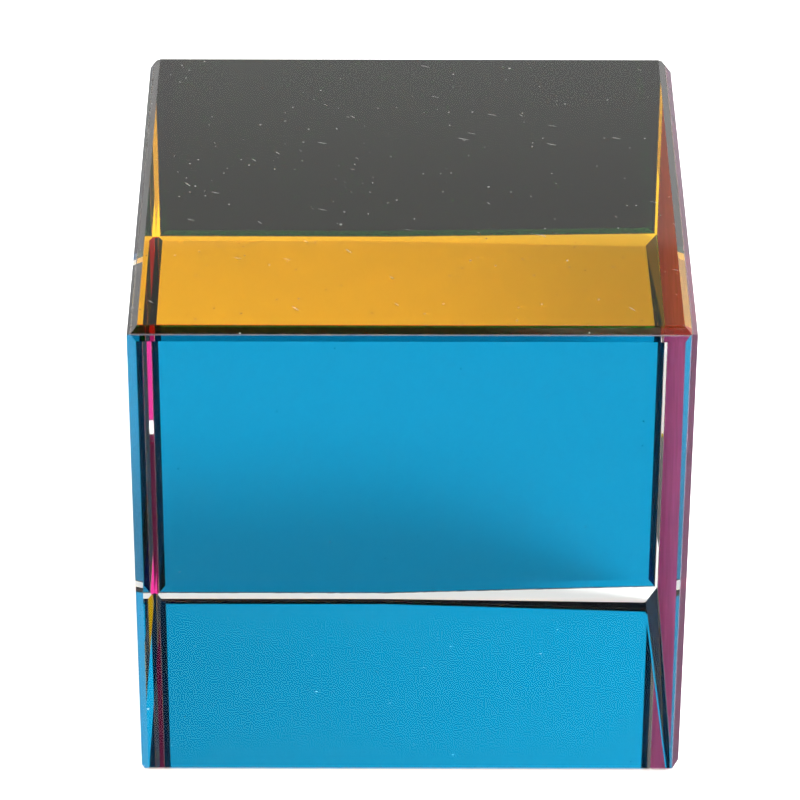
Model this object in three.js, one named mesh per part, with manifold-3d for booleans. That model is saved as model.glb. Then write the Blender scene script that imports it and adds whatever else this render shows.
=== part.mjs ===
// A colour-mixing glass cube: a solid optical glass block with a dyed film on three faces that meet
// at one corner (yellow on top, magenta on the right, cyan at the back). Each film lies under a thin
// clear cover glass and on a layer of clear cement. The twelve outer edges of the finished block are
// ground by hand to bevels of about 45 degrees, through the covers, the films and the core alike, so
// each bevel has its own width. Millimetres, +Z up. The origin is the middle of the bottom face.

import * as THREE from 'three';
import { ConvexGeometry } from 'three/addons/geometries/ConvexGeometry.js';
import { mergeVertices } from 'three/addons/utils/BufferGeometryUtils.js';
import Module from 'manifold-3d';

// ---- Driving dimensions ----
const WIDTH = 50; // along X, over the magenta side's cover
const DEPTH = 49.2; // along Y, over the cyan side's cover
const HEIGHT = 49.1; // along Z, over the yellow side's cover
const COVER_THICKNESS = 0.55; // cover glass over each film
const FILM_THICKNESS = 0.05; // dyed film
const BOND_THICKNESS = 0.05; // optical cement between the film and the core

// Width of each bevel, measured along the two faces it joins. `at` holds the side of the block the
// edge lies on along each axis, with 0 for the axis the edge runs along. `leg` is measured along the
// first axis across the edge. Along the second axis the bevel is `slope` times as wide, or the same
// where no slope is given. Where a bevel widens along its length, `leg` is at the negative end and
// `farLeg` at the positive end.
const BEVELS = [
  { edge: 'top front', at: [0, -1, 1], leg: 1.03 },
  { edge: 'top back', at: [0, 1, 1], leg: 1.0 },
  { edge: 'top left', at: [-1, 0, 1], leg: 0.95 },
  { edge: 'top right', at: [1, 0, 1], leg: 1.2, slope: 0.87 },
  { edge: 'bottom front', at: [0, -1, -1], leg: 0.8 },
  { edge: 'bottom back', at: [0, 1, -1], leg: 1.1 },
  { edge: 'bottom back, second pass', at: [0, 1, -1], leg: 0.35, farLeg: 2.0 },
  { edge: 'bottom left', at: [-1, 0, -1], leg: 0.65 },
  { edge: 'bottom right', at: [1, 0, -1], leg: 1.05, farLeg: 1.85, slope: 1.1 },
  { edge: 'bottom right, second pass', at: [1, 0, -1], leg: 1.13, farLeg: 1.95, slope: 0.4 },
  { edge: 'front left', at: [-1, -1, 0], leg: 0.64, farLeg: 0.82 },
  { edge: 'front right', at: [1, -1, 0], leg: 0.84, farLeg: 1.16 },
  { edge: 'back left', at: [-1, 1, 0], leg: 1.05 },
  { edge: 'back right', at: [1, 1, 0], leg: 1.5 },
];
const CUTTER_OVERHANG = 2; // a bevel cutter reaches this far past the block at each end and outside

// ---- Finishes ----
const CLEAR_GLASS = { color: 0xf2f7f6, roughness: 0.02, metalness: 0 };
const CLEAR_CEMENT = { color: 0xeef2ee, roughness: 0.08, metalness: 0 };
const YELLOW_DYE = { color: 0xf6c531, roughness: 0.1, metalness: 0 };
const MAGENTA_DYE = { color: 0xe83a92, roughness: 0.1, metalness: 0 };
const CYAN_DYE = { color: 0x2096c8, roughness: 0.1, metalness: 0 };

// ---- The three coated sides ----
// Each side is a stack of layers that lie across `axis`, counted inwards from the outer face.
// The top stack runs out to all four edges, the right one stops under it, and the back one stops
// under the top one and against the right one, so no two stacks share any space.
const SIDES = [
  { name: 'top', axis: 'z', dye: YELLOW_DYE, stopsAt: [] },
  { name: 'right', axis: 'x', dye: MAGENTA_DYE, stopsAt: ['z'] },
  { name: 'back', axis: 'y', dye: CYAN_DYE, stopsAt: ['z', 'x'] },
];

const LAYERS = [
  { name: 'cover_plate', thickness: COVER_THICKNESS, finish: () => CLEAR_GLASS },
  { name: 'colour_film', thickness: FILM_THICKNESS, finish: (side) => side.dye },
  { name: 'bond_layer', thickness: BOND_THICKNESS, finish: () => CLEAR_CEMENT },
];

const STACK_THICKNESS = LAYERS.reduce((sum, layer) => sum + layer.thickness, 0);

const wasm = await Module();
wasm.setup();

// The block's outer limits, before the edges are chamfered.
const OUTER = new THREE.Box3(
  new THREE.Vector3(-WIDTH / 2, -DEPTH / 2, 0),
  new THREE.Vector3(WIDTH / 2, DEPTH / 2, HEIGHT),
);

function toSolid(geometry) {
  const positions = geometry.clone();
  positions.deleteAttribute('normal');
  positions.deleteAttribute('uv');
  const merged = mergeVertices(positions);
  return new wasm.Manifold(new wasm.Mesh({
    numProp: 3,
    vertProperties: merged.attributes.position.array,
    triVerts: Uint32Array.from(merged.index.array),
  }));
}

function toGeometry(solid) {
  const { vertProperties, triVerts } = solid.getMesh();
  const geometry = new THREE.BufferGeometry();
  geometry.setAttribute('position', new THREE.BufferAttribute(vertProperties, 3));
  geometry.setIndex(new THREE.BufferAttribute(triVerts, 1));
  geometry.computeVertexNormals();
  return geometry;
}

// The wedge ground off one edge: a three-sided prism whose long face lies on the bevel's sloping plane
// and whose other two faces stay outside the block.
function bevelCutter({ at, leg, farLeg = leg, slope = 1 }) {
  const along = at.indexOf(0);
  const across = [0, 1, 2].filter((axis) => axis !== along);
  const low = OUTER.min.toArray();
  const high = OUTER.max.toArray();
  const length = high[along] - low[along];
  const growth = (farLeg - leg) / length;
  const points = [];
  for (const end of [-CUTTER_OVERHANG, length + CUTTER_OVERHANG]) {
    const inset = leg + growth * end;
    const out = CUTTER_OVERHANG;
    const firstReach = [-inset - out / slope, out];
    const secondReach = [out, -(inset + out) * slope];
    for (const [u, v] of [firstReach, [out, out], secondReach]) {
      const point = [0, 0, 0];
      point[along] = low[along] + end;
      [u, v].forEach((offset, index) => {
        const axis = across[index];
        point[axis] = at[axis] > 0 ? high[axis] + offset : low[axis] - offset;
      });
      points.push(new THREE.Vector3(...point));
    }
  }
  return new ConvexGeometry(points);
}

// The finished block's outside: the full block less the wedge at every edge.
function bevelledBlock() {
  const whole = boxSolid(OUTER);
  return BEVELS.reduce((block, bevel) => block.subtract(toSolid(bevelCutter(bevel))), whole);
}

function boxSolid(box) {
  const size = box.getSize(new THREE.Vector3());
  const centre = box.getCenter(new THREE.Vector3());
  return toSolid(new THREE.BoxGeometry(size.x, size.y, size.z).translate(centre.x, centre.y, centre.z));
}

// The room for one layer of a side, between two depths below the outer face.
function layerBox(side, outerDepth, innerDepth) {
  const box = OUTER.clone();
  box.max[side.axis] = OUTER.max[side.axis] - outerDepth;
  box.min[side.axis] = OUTER.max[side.axis] - innerDepth;
  for (const axis of side.stopsAt) box.max[axis] = OUTER.max[axis] - STACK_THICKNESS;
  return box;
}

function coreBox() {
  const box = OUTER.clone();
  for (const side of SIDES) box.max[side.axis] -= STACK_THICKNESS;
  return box;
}

function piece(name, block, box, finish) {
  const geometry = toGeometry(block.intersect(boxSolid(box)));
  const mesh = new THREE.Mesh(geometry, new THREE.MeshStandardMaterial(finish));
  mesh.name = name;
  return mesh;
}

const block = bevelledBlock();
const cube = new THREE.Group();

cube.add(piece('core_block', block, coreBox(), CLEAR_GLASS));

for (const side of SIDES) {
  let depth = 0;
  for (const layer of LAYERS) {
    const box = layerBox(side, depth, depth + layer.thickness);
    cube.add(piece(`${side.name}_${layer.name}`, block, box, layer.finish(side)));
    depth += layer.thickness;
  }
}

export default cube;
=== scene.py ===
import math

import bmesh
import bpy
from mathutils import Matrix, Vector


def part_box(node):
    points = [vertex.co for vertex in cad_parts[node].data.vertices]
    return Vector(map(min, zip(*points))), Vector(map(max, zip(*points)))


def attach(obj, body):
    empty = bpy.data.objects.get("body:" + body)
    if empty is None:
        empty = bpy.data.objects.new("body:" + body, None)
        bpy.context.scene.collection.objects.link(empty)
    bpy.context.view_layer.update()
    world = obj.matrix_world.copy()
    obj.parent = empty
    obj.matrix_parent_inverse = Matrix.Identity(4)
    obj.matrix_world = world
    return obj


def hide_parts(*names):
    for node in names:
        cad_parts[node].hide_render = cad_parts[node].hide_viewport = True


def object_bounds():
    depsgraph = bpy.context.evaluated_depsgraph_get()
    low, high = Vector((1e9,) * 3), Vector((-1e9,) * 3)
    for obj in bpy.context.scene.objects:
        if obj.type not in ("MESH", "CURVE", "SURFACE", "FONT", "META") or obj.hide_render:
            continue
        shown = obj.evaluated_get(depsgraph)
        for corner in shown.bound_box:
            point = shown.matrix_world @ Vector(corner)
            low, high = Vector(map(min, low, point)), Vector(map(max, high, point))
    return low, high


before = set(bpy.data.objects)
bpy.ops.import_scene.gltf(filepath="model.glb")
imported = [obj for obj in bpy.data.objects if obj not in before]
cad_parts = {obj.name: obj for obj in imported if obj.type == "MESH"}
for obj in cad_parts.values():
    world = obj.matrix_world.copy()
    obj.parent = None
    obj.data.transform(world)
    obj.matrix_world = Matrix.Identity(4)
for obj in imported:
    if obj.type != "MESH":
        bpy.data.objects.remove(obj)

cad_low, cad_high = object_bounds()

MM = 0.001

# ---- The glass and the dyes ----
GLASS_IOR = 1.523
GLASS_TINT = (0.975, 1.0, 0.985)
# What the coating leaves of the straight-on mirror image, on the block and on the covers.
CORE_MIRROR = 0.08
COVER_MIRROR = 0.35
BOND_GAP = 0.002 * MM  # bonded faces stand this far apart, so that no two of them share a plane
PLANE_TOLERANCE = 0.00014 * MM  # a vertex this near a plane lies on it
BOX_TOLERANCE = 0.001 * MM  # a side this far inside the whole box is an inner one
MERGE_DISTANCE = 0.0001 * MM
FLAT_ANGLE_DEG = 0.1  # faces that meet at less than this are one face
FILM_THICKNESS = 0.05 * MM
DYE_OF_SIDE = {"top": "yellow", "right": "magenta", "back": "cyan"}

# What each dyed film lets through in one straight pass, as linear red, green and blue.
DYE_PASS = {
    "yellow": (0.96, 0.59, 0.004),
    "magenta": (0.66, 0.035, 0.26),
    "cyan": (0.003, 0.27, 0.49),
}
# The dye as it shows where the film itself scatters light.
DYE_BODY = {
    "yellow": (0.90, 0.62, 0.05),
    "magenta": (0.95, 0.42, 0.95),
    "cyan": (0.24, 0.42, 0.54),
}
# How strongly each film scatters: at a glance along it, and straight through it.
HAZE_ALONG = {"yellow": 0.25, "magenta": 1.0, "cyan": 0.6}
HAZE_STRAIGHT = {"yellow": 0.004, "magenta": 0.008, "cyan": 0.002}
HAZE_POWER = {"yellow": 3.0, "magenta": 3.0, "cyan": 6.0}  # how fast it fades away from the glance
HAZE_PATCHES = 0.22  # uneven patches per mm
HAZE_PATCH_LEVELS = (0.2, 0.8)  # of the noise, between which a patch begins
HAZE_UNEVEN = (0.9, 1.1)

# The ground edges of the films and of the cement, where the bevels cut through them.
FILM_EDGE = {
    "yellow": (0.34, 0.27, 0.20),
    "magenta": (0.40, 0.24, 0.33),
    "cyan": (0.20, 0.30, 0.36),
}
CEMENT_EDGE = (0.42, 0.37, 0.33)
EDGE_ROUGHNESS = 0.25
EDGE_CLEAR_SHARE = (0.35, 0.75)  # how much of a ground edge still passes light, in patches
EDGE_PATCHES = 1.4  # per mm
EDGE_PATCH_LEVELS = (0.25, 0.75)

# The strip of the top film beside its front edge: the denser dye there is painted shade, and a grey
# diffuse share towards the right is painted light.
PAINTED_SHADE_STRIP_FADE = (1.42, 1.57)  # mm behind the front face between which the painted shade strip fades out
PAINTED_SHADE_STRIP_PASS = (0.97, 0.38, 0.60)  # at each of the film's two faces
PAINTED_LIGHT_RISE = (5.0, 15.0)  # mm to the right of the middle between which the painted light sets in
PAINTED_LIGHT_SHARE = 0.09
PAINTED_LIGHT_COLOUR = (0.62, 0.78, 0.64)

# ---- Dust, lint, scratches and smears ----
DUST_COLOUR = (0.80, 0.79, 0.76)
DUST_RISE = (1.1, 0.3)  # mm under the top face between which dust gets as dense as on the top
DUST_ON_SIDES = 0.05  # how much dust the other faces hold, as a share of what the top holds
# Spacing and largest radius in mm, and the share of cells that hold a speck where dust is densest.
FINE_DUST = (0.8, 0.10, 0.65)
COARSE_DUST = (2.2, 0.14, 0.4)
LINT = (0.65, 0.065, 0.6)
SCRATCHES = (0.65, 0.055, 0.5)
LINT_STRETCH = (1.0, 0.14, 1.0)
LINT_TURN = (0.0, 0.0, 0.7)
SCRATCH_STRETCH = (0.10, 1.0, 1.0)
SCRATCH_TURN = (0.0, 0.0, -0.35)
FAINTEST_SPECK = 0.25  # strength of the faintest speck beside the strongest
DUST_COVER = 0.85  # how much of the glass the strongest speck of dust hides
FIBRE_COVER = 0.6  # and the strongest fibre or scratch
SMEAR_PATCHES = 0.09  # per mm
SMEAR_LEVELS = (0.56, 0.74)
SMEAR_ROUGHNESS = 0.010

# ---- The floor ----
FLOOR_RADIUS = 3.0  # metres
FLOOR_SEGMENTS = 96
FLOOR_DROP = 0.02 * MM  # below the object, so that no two faces share a plane
FLOOR_ALBEDO = 0.84
FLOOR_GLOW = 0.42
FLOOR_GLOW_SEEN = 0.45  # added where the camera looks straight at the floor, so that it stays white

# ---- The key light and the glow it throws on the room round it ----
KEY_AZIMUTH_DEG = 133.0  # clockwise from straight behind the object, seen from above
KEY_HEIGHT_DEG = 60.0
KEY_EDGE_DEG = (9.0, 13.0)  # the key fades between these distances from its middle
KEY_STRENGTH = 17.8
HALO_EDGE_DEG = (14.0, 32.0)
HALO_STRENGTH = 0.45

# ---- The backdrop and the room. Heights are sines of the angle above the horizon ----
BACKDROP_EDGE = (0.44, 0.56)  # cosines of the angle from straight behind between which it begins
BACKDROP_TOP = (0.92, 0.82)  # heights between which it ends
BACKDROP_LOW = 1.55
BACKDROP_MIDDLE = 1.28
BACKDROP_SHADE = 0.62
BACKDROP_HIGH = 1.05
BACKDROP_FALL = (0.485, 0.520)  # heights between which it passes from low to middle
BACKDROP_SHADE_START = (0.5225, 0.5275)  # from middle to shade
BACKDROP_SHADE_END = (0.545, 0.565)  # from shade to high
BACKDROP_GAIN = 0.42  # how much brighter its upper part is on the right than on the left
BACKDROP_GAIN_RISE = (0.56, 0.60)
BACKDROP_GAIN_SIDES = (-0.09, 0.09)  # from left to right, as sines of the angle sideways
STRAIGHT_UP_GUARD = 1e-6  # keeps the division by the level part of a direction away from zero
FOOT_TOP = (0.17, 0.07)  # heights between which the white round the object's foot ends
ROOM_STRENGTH = 0.13
CEILING_STRENGTH = 0.16
CEILING_RISE = (0.85, 0.92)  # from the room's strength to the ceiling's

# ---- The camera ----
CAMERA_PLACE = (-2.29 * MM, -354.53 * MM, 262.25 * MM)
CAMERA_TURN_DEG = (56.27, -0.184, -0.089)
CAMERA_LENS = 202.8
SENSOR_WIDTH = 36.0
CAMERA_REACH = (0.01, 20.0)  # metres

# ---- Light paths ----
GLASS_BOUNCES = 24
MATT_BOUNCES = 3
CLEAR_LAYERS = 160
BRIGHTEST_BOUNCE = 6.0


# ---- Small node helpers ----
# Blender's Mix node has sockets of the same name for each kind of value. These are the colour ones.
MIX_COLOUR_A = 6
MIX_COLOUR_B = 7
MIX_COLOUR_RESULT = 2


def new_material(name):
    material = bpy.data.materials.new(name)
    material.use_nodes = True
    material.node_tree.nodes.clear()
    return material, material.node_tree


def maths(tree, operation, first, second, clamp=False):
    node = tree.nodes.new("ShaderNodeMath")
    node.operation = operation
    node.use_clamp = clamp
    for socket, value in zip(node.inputs, (first, second)):
        if isinstance(value, (int, float)):
            socket.default_value = value
        else:
            tree.links.new(value, socket)
    return node.outputs[0]


def ramp(tree, value, limits, at_first=0.0, at_second=1.0):
    """at_first up to the first limit, at_second past the second and a smooth passage between them.

    The first limit may be the higher one.
    """
    node = tree.nodes.new("ShaderNodeMapRange")
    node.interpolation_type = "SMOOTHSTEP"
    node.inputs["From Min"].default_value = limits[0]
    node.inputs["From Max"].default_value = limits[1]
    node.inputs["To Min"].default_value = at_first
    node.inputs["To Max"].default_value = at_second
    tree.links.new(value, node.inputs["Value"])
    return node.outputs["Result"]


def mix_shader(tree, share, first, second):
    node = tree.nodes.new("ShaderNodeMixShader")
    if isinstance(share, float):
        node.inputs[0].default_value = share
    else:
        tree.links.new(share, node.inputs[0])
    tree.links.new(first, node.inputs[1])
    tree.links.new(second, node.inputs[2])
    return node.outputs[0]


def split_vector(tree, vector):
    node = tree.nodes.new("ShaderNodeSeparateXYZ")
    tree.links.new(vector, node.inputs[0])
    return node.outputs


def matt_shader(tree, kind, colour):
    node = tree.nodes.new(kind)
    node.inputs["Color"].default_value = (*colour, 1.0)
    return node.outputs[0]


def object_place(tree, stretch=(1.0, 1.0, 1.0), turn=(0.0, 0.0, 0.0)):
    """The point on the surface in millimetres, turned and then stretched."""
    coordinates = tree.nodes.new("ShaderNodeTexCoord")
    mapping = tree.nodes.new("ShaderNodeMapping")
    mapping.vector_type = "TEXTURE"
    mapping.inputs["Scale"].default_value = [MM / s for s in stretch]
    mapping.inputs["Rotation"].default_value = turn
    tree.links.new(coordinates.outputs["Object"], mapping.inputs["Vector"])
    return mapping.outputs["Vector"]


def noise(tree, scale, detail, roughness=0.5):
    node = tree.nodes.new("ShaderNodeTexNoise")
    node.inputs["Scale"].default_value = scale
    node.inputs["Detail"].default_value = detail
    node.inputs["Roughness"].default_value = roughness
    tree.links.new(object_place(tree), node.inputs["Vector"])
    return node.outputs["Fac"]


def volume_absorption(tree, output, passed, thickness):
    """A plain absorbing volume that lets `passed` through in one pass of the given thickness."""
    strengths = [-math.log(share) / thickness for share in passed]
    density = max(strengths)
    node = tree.nodes.new("ShaderNodeVolumeAbsorption")
    node.inputs["Color"].default_value = [1.0 - s / density for s in strengths] + [1.0]
    node.inputs["Density"].default_value = density
    tree.links.new(node.outputs["Volume"], output.inputs["Volume"])


# ---- Materials ----
def specks(tree, place, kind, density):
    """Specks of one kind in some of the cells of a pattern, each with its own size and strength."""
    spacing, radius, share = kind
    cells = tree.nodes.new("ShaderNodeTexVoronoi")
    cells.inputs["Scale"].default_value = 1.0 / spacing
    tree.links.new(place, cells.inputs["Vector"])
    split = tree.nodes.new("ShaderNodeSeparateColor")
    tree.links.new(cells.outputs["Color"], split.inputs["Color"])
    chosen = maths(tree, "LESS_THAN", split.outputs["Red"], maths(tree, "MULTIPLY", density, share))
    size = maths(tree, "MULTIPLY", split.outputs["Green"], radius / spacing)
    near = maths(tree, "LESS_THAN", cells.outputs["Distance"], size)
    strength = ramp(tree, split.outputs["Blue"], (0.0, 1.0), FAINTEST_SPECK)
    return maths(tree, "MULTIPLY", maths(tree, "MULTIPLY", chosen, near), strength)


def surface_dirt(tree):
    """The share of the surface that dust, lint and short scratches hide: mostly on the top."""
    place = object_place(tree)
    top = cad_high[2] / MM
    rise = [top - depth for depth in DUST_RISE]
    density = ramp(tree, split_vector(tree, place)["Z"], rise, DUST_ON_SIDES)
    lint_place = object_place(tree, LINT_STRETCH, LINT_TURN)
    scratch_place = object_place(tree, SCRATCH_STRETCH, SCRATCH_TURN)
    dust = maths(
        tree, "MAXIMUM",
        specks(tree, place, FINE_DUST, density), specks(tree, place, COARSE_DUST, density),
    )
    fibres = maths(
        tree, "MAXIMUM",
        specks(tree, lint_place, LINT, density), specks(tree, scratch_place, SCRATCHES, density),
    )
    return maths(
        tree, "MAXIMUM",
        maths(tree, "MULTIPLY", dust, DUST_COVER), maths(tree, "MULTIPLY", fibres, FIBRE_COVER),
    )


def polished_glass(name, mirror):
    """Clear polished glass with dust, lint and short scratches on it, and faint smears."""
    material, tree = new_material(name)
    output = tree.nodes.new("ShaderNodeOutputMaterial")
    glass = tree.nodes.new("ShaderNodeBsdfPrincipled")
    glass.inputs["IOR"].default_value = GLASS_IOR
    glass.inputs["Base Color"].default_value = (*GLASS_TINT, 1.0)
    glass.inputs["Transmission Weight"].default_value = 1.0
    glass.inputs["Specular Tint"].default_value = (mirror, mirror, mirror, 1.0)
    smear = noise(tree, SMEAR_PATCHES, detail=4.0, roughness=0.6)
    smeared = ramp(tree, smear, SMEAR_LEVELS, 0.0, SMEAR_ROUGHNESS)
    tree.links.new(smeared, glass.inputs["Roughness"])
    dust = matt_shader(tree, "ShaderNodeBsdfDiffuse", DUST_COLOUR)
    surface = mix_shader(tree, surface_dirt(tree), glass.outputs[0], dust)
    tree.links.new(surface, output.inputs["Surface"])
    return material


def bonded_face(name):
    """An inner face that cement has made optically clear."""
    material, tree = new_material(name)
    output = tree.nodes.new("ShaderNodeOutputMaterial")
    clear = tree.nodes.new("ShaderNodeBsdfTransparent")
    tree.links.new(clear.outputs[0], output.inputs["Surface"])
    return material


def film_face(name, dye):
    """The broad faces of a dyed film: clear straight through, and milky at a glance along it."""
    material, tree = new_material(name)
    output = tree.nodes.new("ShaderNodeOutputMaterial")
    clear = tree.nodes.new("ShaderNodeBsdfTransparent")
    through = matt_shader(tree, "ShaderNodeBsdfTranslucent", DYE_BODY[dye])
    back = matt_shader(tree, "ShaderNodeBsdfDiffuse", DYE_BODY[dye])
    haze = mix_shader(tree, 0.5, through, back)
    glance = tree.nodes.new("ShaderNodeLayerWeight")
    steep = maths(tree, "POWER", glance.outputs["Facing"], HAZE_POWER[dye])
    uneven = ramp(tree, noise(tree, HAZE_PATCHES, detail=5.0), HAZE_PATCH_LEVELS, *HAZE_UNEVEN)
    along = maths(tree, "MULTIPLY", maths(tree, "MULTIPLY", steep, HAZE_ALONG[dye]), uneven)
    share = maths(tree, "ADD", along, HAZE_STRAIGHT[dye], clamp=True)
    surface = mix_shader(tree, share, clear.outputs[0], haze)
    # The yellow film gets a strip of painted shade beside its front edge, with painted light on its
    # right part.
    if dye == "yellow":
        surface = painted_shade_and_light_strip(tree, clear, surface)
    tree.links.new(surface, output.inputs["Surface"])
    volume_absorption(tree, output, DYE_PASS[dye], FILM_THICKNESS)
    return material


def painted_shade_and_light_strip(tree, clear, surface):
    """The strip beside the top film's front edge: denser dye as painted shade, with a grey diffuse
    share on its right part as painted light.
    """
    place = split_vector(tree, object_place(tree))
    front = cad_low[1] / MM
    fade = [front + depth for depth in PAINTED_SHADE_STRIP_FADE]
    # Painted shade: the denser dye darkens the strip in place of the shadowed floor seen behind the
    # block.
    painted_shade_strip = ramp(tree, place["Y"], fade, 1.0, 0.0)
    painted_shade_tint = tree.nodes.new("ShaderNodeMix")
    painted_shade_tint.data_type = "RGBA"
    tree.links.new(painted_shade_strip, painted_shade_tint.inputs["Factor"])
    painted_shade_tint.inputs[MIX_COLOUR_A].default_value = (1.0, 1.0, 1.0, 1.0)
    painted_shade_tint.inputs[MIX_COLOUR_B].default_value = (*PAINTED_SHADE_STRIP_PASS, 1.0)
    tree.links.new(painted_shade_tint.outputs[MIX_COLOUR_RESULT], clear.inputs["Color"])
    # Painted light: a grey diffuse share that grows towards the right, where the floor behind lies
    # in light.
    painted_light = matt_shader(tree, "ShaderNodeBsdfDiffuse", PAINTED_LIGHT_COLOUR)
    share = maths(tree, "MULTIPLY", painted_shade_strip, ramp(tree, place["X"], PAINTED_LIGHT_RISE, 0.0, PAINTED_LIGHT_SHARE))
    return mix_shader(tree, share, surface, painted_light)


def ground_edge(name, colour):
    """The narrow edge of a film or of the cement, ground through at the bevels: dull and matt."""
    material, tree = new_material(name)
    output = tree.nodes.new("ShaderNodeOutputMaterial")
    matt = matt_shader(tree, "ShaderNodeBsdfDiffuse", colour)
    glass = tree.nodes.new("ShaderNodeBsdfGlass")
    glass.inputs["IOR"].default_value = GLASS_IOR
    glass.inputs["Roughness"].default_value = EDGE_ROUGHNESS
    share = ramp(tree, noise(tree, EDGE_PATCHES, detail=4.0), EDGE_PATCH_LEVELS, *EDGE_CLEAR_SHARE)
    surface = mix_shader(tree, share, matt, glass.outputs[0])
    tree.links.new(surface, output.inputs["Surface"])
    return material


# ---- Pieces ----
def on_plane(vertex, plane):
    axis, place, _ = plane
    return abs(vertex.co[axis] - place) < PLANE_TOLERANCE


def lies_on(face, plane):
    return all(on_plane(vertex, plane) for vertex in face.verts)


def inner_planes(node):
    """The sides of a node's box that lie inside the whole one, as axis, place and way inwards."""
    low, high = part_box(node)
    planes = []
    for axis in range(3):
        if low[axis] > cad_low[axis] + BOX_TOLERANCE:
            planes.append((axis, low[axis], 1.0))
        if high[axis] < cad_high[axis] - BOX_TOLERANCE:
            planes.append((axis, high[axis], -1.0))
    return planes


def build_piece(node, name, outside, bonded):
    """A closed piece in the place of a CAD node. Its bonded faces draw back by half the bond gap.

    Faces on an inner plane take the bonded material, and all others take the outside one.
    """
    mesh = bpy.data.meshes.new(name)
    shape = bmesh.new()
    shape.from_mesh(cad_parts[node].data)
    bmesh.ops.remove_doubles(shape, verts=shape.verts, dist=MERGE_DISTANCE)
    flat = math.radians(FLAT_ANGLE_DEG)
    bmesh.ops.dissolve_limit(shape, angle_limit=flat, verts=shape.verts, edges=shape.edges)
    bonded_planes = [
        plane for plane in inner_planes(node) if any(lies_on(face, plane) for face in shape.faces)
    ]
    for face in shape.faces:
        face.smooth = False
        face.material_index = 1 if any(lies_on(face, plane) for plane in bonded_planes) else 0
    for vertex in shape.verts:
        shift = Vector((0.0, 0.0, 0.0))
        for plane in bonded_planes:
            if on_plane(vertex, plane):
                axis, _, inwards = plane
                shift[axis] += inwards * BOND_GAP / 2
        vertex.co += shift
    bmesh.ops.recalc_face_normals(shape, faces=shape.faces)
    shape.to_mesh(mesh)
    shape.free()
    mesh.materials.append(outside)
    mesh.materials.append(bonded)
    piece = bpy.data.objects.new(name, mesh)
    bpy.context.scene.collection.objects.link(piece)
    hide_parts(node)
    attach(piece, "root")


def build_cube():
    core_glass = polished_glass("core_glass", CORE_MIRROR)
    build_piece("core_block", "glass_core", core_glass, bonded_face("core_bonded"))
    cover_glass = polished_glass("cover_glass", COVER_MIRROR)
    cover_bonded = bonded_face("cover_bonded")
    cement_edge = ground_edge("cement_edge", CEMENT_EDGE)
    cement_bonded = bonded_face("cement_bonded")
    for side, dye in DYE_OF_SIDE.items():
        build_piece(f"{side}_cover_plate", f"{side}_cover_glass", cover_glass, cover_bonded)
        film = film_face(f"{dye}_film_face", dye)
        film_edge = ground_edge(f"{dye}_film_edge", FILM_EDGE[dye])
        build_piece(f"{side}_colour_film", f"{side}_{dye}_film", film_edge, film)
        build_piece(f"{side}_bond_layer", f"{side}_cement", cement_edge, cement_bonded)


# ---- Studio ----
def build_floor():
    mesh = bpy.data.meshes.new("studio_floor")
    shape = bmesh.new()
    bmesh.ops.create_circle(shape, cap_ends=True, segments=FLOOR_SEGMENTS, radius=FLOOR_RADIUS)
    shape.to_mesh(mesh)
    shape.free()
    floor = bpy.data.objects.new("studio_floor", mesh)
    floor.location.z = -FLOOR_DROP
    bpy.context.scene.collection.objects.link(floor)
    material, tree = new_material("white_sweep")
    output = tree.nodes.new("ShaderNodeOutputMaterial")
    matt = matt_shader(tree, "ShaderNodeBsdfDiffuse", (FLOOR_ALBEDO, FLOOR_ALBEDO, FLOOR_ALBEDO))
    glow = tree.nodes.new("ShaderNodeEmission")
    path = tree.nodes.new("ShaderNodeLightPath")
    seen_glow = maths(tree, "MULTIPLY", path.outputs["Is Camera Ray"], FLOOR_GLOW_SEEN)
    tree.links.new(maths(tree, "ADD", seen_glow, FLOOR_GLOW), glow.inputs["Strength"])
    both = tree.nodes.new("ShaderNodeAddShader")
    tree.links.new(matt, both.inputs[0])
    tree.links.new(glow.outputs[0], both.inputs[1])
    tree.links.new(both.outputs[0], output.inputs["Surface"])
    material.cycles.emission_sampling = "NONE"
    mesh.materials.append(material)


def backdrop_brightness(tree, direction):
    """Brightest low down, with a shaded band, and brighter on the right high up."""
    height = direction["Z"]
    steps = (
        (BACKDROP_FALL, BACKDROP_LOW, BACKDROP_MIDDLE),
        (BACKDROP_SHADE_START, 0.0, BACKDROP_SHADE - BACKDROP_MIDDLE),
        (BACKDROP_SHADE_END, 0.0, BACKDROP_HIGH - BACKDROP_SHADE),
    )
    rightwards = ramp(tree, direction["X"], BACKDROP_GAIN_SIDES)
    gain = ramp(tree, height, BACKDROP_GAIN_RISE, 0.0, BACKDROP_GAIN)
    brightness = maths(tree, "MULTIPLY", rightwards, gain)
    for limits, before, after in steps:
        brightness = maths(tree, "ADD", brightness, ramp(tree, height, limits, before, after))
    return brightness


def white_surroundings(tree, direction):
    """1 on the backdrop behind the object and all round its foot, 0 in the rest of the room."""
    across = maths(tree, "MULTIPLY", direction["X"], direction["X"])
    along = maths(tree, "MULTIPLY", direction["Y"], direction["Y"])
    level_squared = maths(tree, "ADD", maths(tree, "ADD", across, along), STRAIGHT_UP_GUARD)
    level = maths(tree, "POWER", level_squared, 0.5)
    behind = ramp(tree, maths(tree, "DIVIDE", direction["Y"], level), BACKDROP_EDGE)
    backdrop = maths(tree, "MULTIPLY", behind, ramp(tree, direction["Z"], BACKDROP_TOP))
    return maths(tree, "MAXIMUM", backdrop, ramp(tree, direction["Z"], FOOT_TOP))


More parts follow.
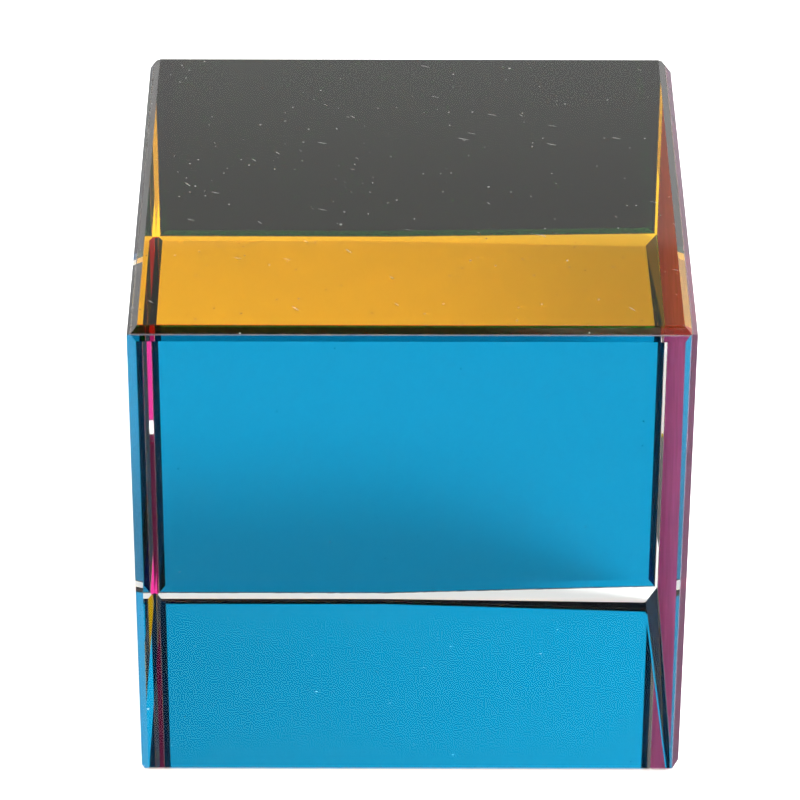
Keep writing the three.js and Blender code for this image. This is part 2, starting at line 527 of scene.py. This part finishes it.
def key_light(tree, direction):
    """The key light's disc in the sky, and the glow round it."""
    towards_key = tree.nodes.new("ShaderNodeVectorMath")
    towards_key.operation = "DOT_PRODUCT"
    tree.links.new(direction, towards_key.inputs[0])
    turn, height = math.radians(KEY_AZIMUTH_DEG), math.radians(KEY_HEIGHT_DEG)
    towards_key.inputs[1].default_value = (
        math.sin(turn) * math.cos(height), math.cos(turn) * math.cos(height), math.sin(height)
    )
    discs = []
    for edge, strength in ((KEY_EDGE_DEG, KEY_STRENGTH), (HALO_EDGE_DEG, HALO_STRENGTH)):
        limits = [math.cos(math.radians(angle)) for angle in edge]
        discs.append(ramp(tree, towards_key.outputs["Value"], limits, strength, 0.0))
    return maths(tree, "ADD", *discs)


def background(tree, strength):
    node = tree.nodes.new("ShaderNodeBackground")
    node.inputs["Color"].default_value = (1.0, 1.0, 1.0, 1.0)
    if isinstance(strength, float):
        node.inputs["Strength"].default_value = strength
    else:
        tree.links.new(strength, node.inputs["Strength"])
    return node.outputs[0]


def build_world():
    """A white backdrop behind the object and white all round its foot, a dim room elsewhere, and
    one large soft key light high in front on the right. The camera itself sees plain white."""
    world = bpy.data.worlds.new("studio")
    bpy.context.scene.world = world
    world.use_nodes = True
    tree = world.node_tree
    tree.nodes.clear()
    output = tree.nodes.new("ShaderNodeOutputWorld")
    coordinates = tree.nodes.new("ShaderNodeTexCoord")
    direction = split_vector(tree, coordinates.outputs["Generated"])
    white = white_surroundings(tree, direction)
    lit = maths(tree, "MULTIPLY", white, backdrop_brightness(tree, direction))
    room = ramp(tree, direction["Z"], CEILING_RISE, ROOM_STRENGTH, CEILING_STRENGTH)
    surroundings = maths(tree, "MAXIMUM", lit, room)
    light = maths(tree, "ADD", surroundings, key_light(tree, coordinates.outputs["Generated"]))
    path = tree.nodes.new("ShaderNodeLightPath")
    is_camera = path.outputs["Is Camera Ray"]
    seen = mix_shader(tree, is_camera, background(tree, light), background(tree, 1.0))
    tree.links.new(seen, output.inputs["Surface"])


def build_camera():
    data = bpy.data.cameras.new("camera")
    data.sensor_width = SENSOR_WIDTH
    data.lens = CAMERA_LENS
    data.clip_start, data.clip_end = CAMERA_REACH
    camera = bpy.data.objects.new("camera", data)
    camera.location = CAMERA_PLACE
    camera.rotation_euler = [math.radians(angle) for angle in CAMERA_TURN_DEG]
    bpy.context.scene.collection.objects.link(camera)
    bpy.context.scene.camera = camera


def set_light_paths():
    """Enough bounces for light to cross the block and its nine layers many times."""
    scene = bpy.context.scene
    scene.view_settings.view_transform = "Standard"
    scene.view_settings.look = "None"
    cycles = scene.cycles
    cycles.max_bounces = GLASS_BOUNCES
    cycles.transmission_bounces = GLASS_BOUNCES
    cycles.glossy_bounces = GLASS_BOUNCES
    cycles.diffuse_bounces = MATT_BOUNCES
    cycles.transparent_max_bounces = CLEAR_LAYERS
    cycles.sample_clamp_indirect = BRIGHTEST_BOUNCE


build_camera()
build_cube()
build_floor()
build_world()
set_light_paths()
